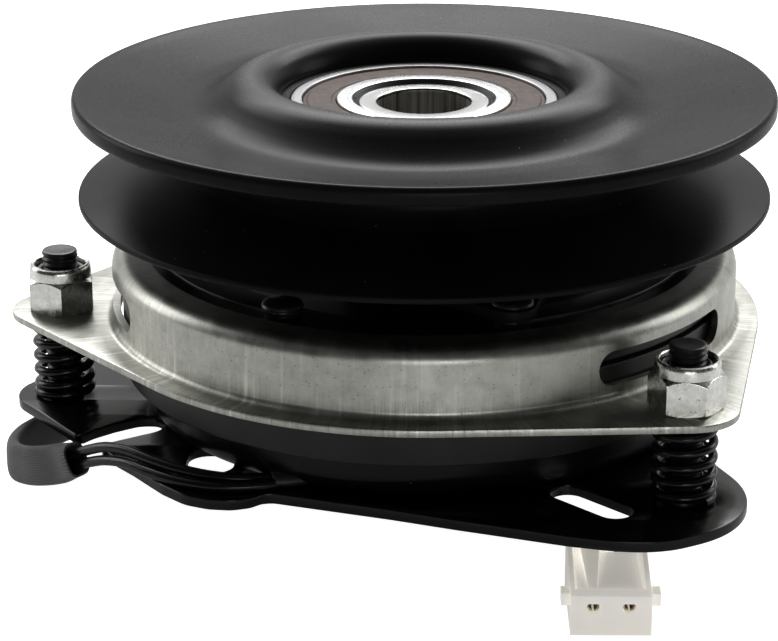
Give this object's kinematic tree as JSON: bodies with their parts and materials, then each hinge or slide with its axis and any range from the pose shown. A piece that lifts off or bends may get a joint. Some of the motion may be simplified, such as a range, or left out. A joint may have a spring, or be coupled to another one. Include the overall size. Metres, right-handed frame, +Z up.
{
  "type": "electromagnetic clutch",
  "caption": "Electric power take-off clutch and brake: stationary coil field, keyed rotor, spring-hung armature, zinc brake plate, V-belt pulley on a ball bearing and a two-wire lead with plug.",
  "frame": {"origin": "centre of the rotor hub's lower end face, on the shaft axis", "axes": "+Z up the shaft axis towards the pulley, +Y away from the side that the lead and its plug are on, +X towards the stud beside the anti-rotation slot"},
  "size_m": [0.2092, 0.2154, 0.1117],
  "materials": {
    "black_plate": "glossy black electrocoat",
    "black_steel": "satin black coat",
    "bobbin_plastic": "moulded nylon",
    "copper": "enamelled copper wire",
    "potting": "cast resin",
    "bearing_steel": "ground and polished",
    "cage_plastic": "moulded nylon",
    "seal_rubber": "moulded rubber",
    "spring_steel": "dark tempered steel",
    "machined_steel": "phosphated, turned",
    "phosphate_steel": "satin black phosphate",
    "armature_steel": "ground, dark",
    "zinc_plate": "zinc plated, pressed sheet",
    "friction_lining": "moulded friction lining",
    "black_spring": "glossy black coat",
    "zinc_nut": "bright zinc plate",
    "nylon": "dark nylon",
    "wire_pvc": "extruded insulation",
    "woven_sleeve": "woven glass-fibre braid",
    "ivory_nylon": "natural nylon",
    "brass": "pressed terminal"
  },
  "bodies": {
    "field": {"base_plate": "black_plate", "field_shell": "black_steel", "coil_bobbin": "bobbin_plastic", "coil_winding": "copper", "coil_potting": "potting", "field_bearing_outer_ring": "bearing_steel", "field_bearing_seals": "seal_rubber", "field_bearing_clip": "spring_steel", "studs": "black_steel", "spring_left": "black_spring", "spring_right": "black_spring", "spring_rear": "black_spring", "lead_grommet": "seal_rubber", "lead_wire_a": "wire_pvc", "lead_wire_b": "wire_pvc", "lead_sleeve": "woven_sleeve", "connector_housing": "ivory_nylon", "connector_terminals": "brass"},
    "field_balls": {"field_bearing_balls": "bearing_steel", "field_bearing_cage": "cage_plastic"},
    "rotor": {"rotor": "machined_steel", "field_bearing_inner_ring": "bearing_steel", "hub_clip": "spring_steel", "pulley_bearing_inner_ring": "bearing_steel"},
    "pulley_balls": {"pulley_bearing_balls": "bearing_steel", "pulley_bearing_cage": "cage_plastic"},
    "pulley": {"pulley_upper": "phosphate_steel", "pulley_lower": "phosphate_steel", "pulley_hub": "phosphate_steel", "pulley_rivets": "black_steel", "pulley_bearing_outer_ring": "bearing_steel", "pulley_bearing_seals": "seal_rubber", "leaf_springs": "spring_steel"},
    "armature": {"armature_plate": "armature_steel", "armature_rivets": "black_steel"},
    "brake": {"brake_plate": "zinc_plate", "brake_pads": "friction_lining"},
    "nut_left": {"nut_left": "zinc_nut", "nut_insert_left": "nylon"},
    "nut_right": {"nut_right": "zinc_nut", "nut_insert_right": "nylon"},
    "nut_rear": {"nut_rear": "zinc_nut", "nut_insert_rear": "nylon"}
  },
  "joints": [
    {"name": "rotor_spin", "type": "hinge", "parent": "field", "child": "rotor", "pos_m": [0, 0, 0.05], "axis": [0, 0, 1], "continuous": true},
    {"name": "field_balls_roll", "type": "hinge", "parent": "field", "child": "field_balls", "pos_m": [0, 0, 0.0275], "axis": [0, 0, 1], "continuous": true},
    {"name": "pulley_spin", "type": "hinge", "parent": "rotor", "child": "pulley", "pos_m": [0, 0, 0.0965], "axis": [0, 0, 1], "continuous": true},
    {"name": "pulley_balls_roll", "type": "hinge", "parent": "rotor", "child": "pulley_balls", "pos_m": [0, 0, 0.0965], "axis": [0, 0, 1], "continuous": true},
    {"name": "armature_engage", "type": "slide", "parent": "pulley", "child": "armature", "axis": [0, 0, -1], "range_m": [0, 0.0004], "stiffness_N_per_m": 40000, "springref_m": -0.0004, "deforming": ["leaf_springs"]},
    {"name": "brake_adjust", "type": "slide", "parent": "field", "child": "brake", "axis": [0, 0, 1], "range_m": [0, 0.0015], "deforming": ["spring_left", "spring_right", "spring_rear"]},
    {"name": "nut_left_turn", "type": "hinge", "parent": "brake", "child": "nut_left", "pos_m": [-0.09948, -0.00208, 0.0457], "axis": [0, 0, 1], "range_deg": [0, 361]},
    {"name": "nut_right_turn", "type": "hinge", "parent": "brake", "child": "nut_right", "pos_m": [0.06567, -0.07475, 0.0457], "axis": [0, 0, 1], "range_deg": [0, 361]},
    {"name": "nut_rear_turn", "type": "hinge", "parent": "brake", "child": "nut_rear", "pos_m": [0.04047, 0.0909, 0.0457], "axis": [0, 0, 1], "range_deg": [0, 361]}
  ],
  "couplings": [
    {"joint": "field_balls_roll", "follows": "rotor_spin", "ratio": 0.41814},
    {"joint": "pulley_balls_roll", "follows": "pulley_spin", "ratio": 0.60374},
    {"joint": "nut_left_turn", "follows": "brake_adjust", "rad_per_m": 4188.8},
    {"joint": "nut_right_turn", "follows": "brake_adjust", "rad_per_m": 4188.8},
    {"joint": "nut_rear_turn", "follows": "brake_adjust", "rad_per_m": 4188.8}
  ]
}
